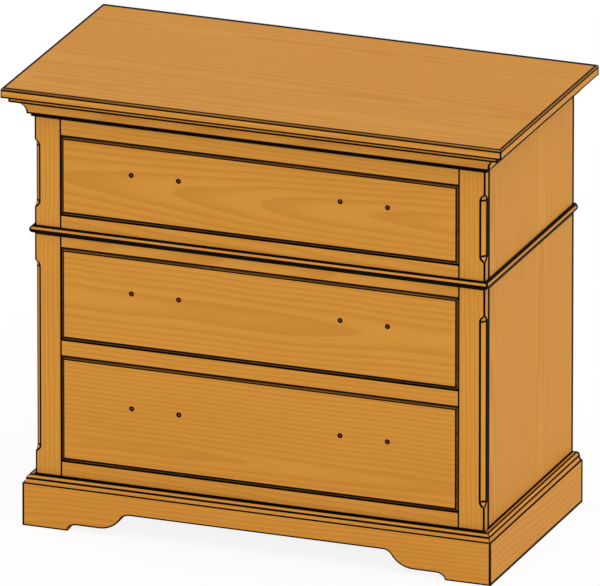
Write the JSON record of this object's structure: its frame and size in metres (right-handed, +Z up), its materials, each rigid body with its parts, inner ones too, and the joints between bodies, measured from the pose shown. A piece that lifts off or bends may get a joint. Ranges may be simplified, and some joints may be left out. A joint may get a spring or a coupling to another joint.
{
  "type": "bachelor chest",
  "caption": "Wooden bachelor chest with an overhanging top, cove moulding, waist bead, chamfered stiles, scrolled plinth and inset drawers on full-extension slides.",
  "frame": {"origin": "on the floor under the middle of the chest's outer box", "axes": "+X to the right seen from the front, +Y from the front to the back, +Z up"},
  "size_m": [0.9716, 0.5112, 0.8509],
  "materials": {
    "honey_wood": "honey stain under satin lacquer, dark glaze left on the edges",
    "drawer_wood": "pale hardwood under matt lacquer",
    "plywood": "sealed plywood",
    "slide_steel": "zinc plated"
  },
  "bodies": {
    "case": {"top_board": "honey_wood", "cove_moulding_front": "honey_wood", "cove_moulding_left": "honey_wood", "cove_moulding_right": "honey_wood", "side_panel_left": "honey_wood", "side_panel_right": "honey_wood", "stile_left": "honey_wood", "stile_right": "honey_wood", "top_rail": "honey_wood", "waist_rail": "honey_wood", "lower_rail": "honey_wood", "bottom_rail": "honey_wood", "waist_bead_front": "honey_wood", "waist_bead_left": "honey_wood", "waist_bead_right": "honey_wood", "plinth_front": "honey_wood", "plinth_left": "honey_wood", "plinth_right": "honey_wood", "back_panel": "plywood", "case_bottom": "plywood", "rear_top_rail": "drawer_wood", "rear_bottom_rail": "drawer_wood", "rear_post_left": "drawer_wood", "rear_post_right": "drawer_wood", "top_slide_track_left": "slide_steel", "top_slide_track_right": "slide_steel", "middle_slide_track_left": "slide_steel", "middle_slide_track_right": "slide_steel", "bottom_slide_track_left": "slide_steel", "bottom_slide_track_right": "slide_steel"},
    "top_drawer": {"top_drawer_front": "honey_wood", "top_box_front": "drawer_wood", "top_box_back": "drawer_wood", "top_box_left": "drawer_wood", "top_box_right": "drawer_wood", "top_drawer_bottom": "plywood", "top_slide_runner_left": "slide_steel", "top_slide_runner_right": "slide_steel"},
    "middle_drawer": {"middle_drawer_front": "honey_wood", "middle_box_front": "drawer_wood", "middle_box_back": "drawer_wood", "middle_box_left": "drawer_wood", "middle_box_right": "drawer_wood", "middle_drawer_bottom": "plywood", "middle_slide_runner_left": "slide_steel", "middle_slide_runner_right": "slide_steel"},
    "bottom_drawer": {"bottom_drawer_front": "honey_wood", "bottom_box_front": "drawer_wood", "bottom_box_back": "drawer_wood", "bottom_box_left": "drawer_wood", "bottom_box_right": "drawer_wood", "bottom_drawer_bottom": "plywood", "bottom_slide_runner_left": "slide_steel", "bottom_slide_runner_right": "slide_steel"},
    "top_slide_middles": {"top_slide_middle_left": "slide_steel", "top_slide_middle_right": "slide_steel"},
    "middle_slide_middles": {"middle_slide_middle_left": "slide_steel", "middle_slide_middle_right": "slide_steel"},
    "bottom_slide_middles": {"bottom_slide_middle_left": "slide_steel", "bottom_slide_middle_right": "slide_steel"}
  },
  "joints": [
    {"name": "top_drawer_slide", "type": "slide", "parent": "case", "child": "top_drawer", "axis": [0, -1, 0], "range_m": [0, 0.4]},
    {"name": "middle_drawer_slide", "type": "slide", "parent": "case", "child": "middle_drawer", "axis": [0, -1, 0], "range_m": [0, 0.4]},
    {"name": "bottom_drawer_slide", "type": "slide", "parent": "case", "child": "bottom_drawer", "axis": [0, -1, 0], "range_m": [0, 0.4]},
    {"name": "top_slide_travel", "type": "slide", "parent": "case", "child": "top_slide_middles", "axis": [0, -1, 0], "range_m": [0, 0.2]},
    {"name": "middle_slide_travel", "type": "slide", "parent": "case", "child": "middle_slide_middles", "axis": [0, -1, 0], "range_m": [0, 0.2]},
    {"name": "bottom_slide_travel", "type": "slide", "parent": "case", "child": "bottom_slide_middles", "axis": [0, -1, 0], "range_m": [0, 0.2]}
  ],
  "couplings": [
    {"joint": "top_slide_travel", "follows": "top_drawer_slide", "ratio": 0.5},
    {"joint": "middle_slide_travel", "follows": "middle_drawer_slide", "ratio": 0.5},
    {"joint": "bottom_slide_travel", "follows": "bottom_drawer_slide", "ratio": 0.5}
  ]
}
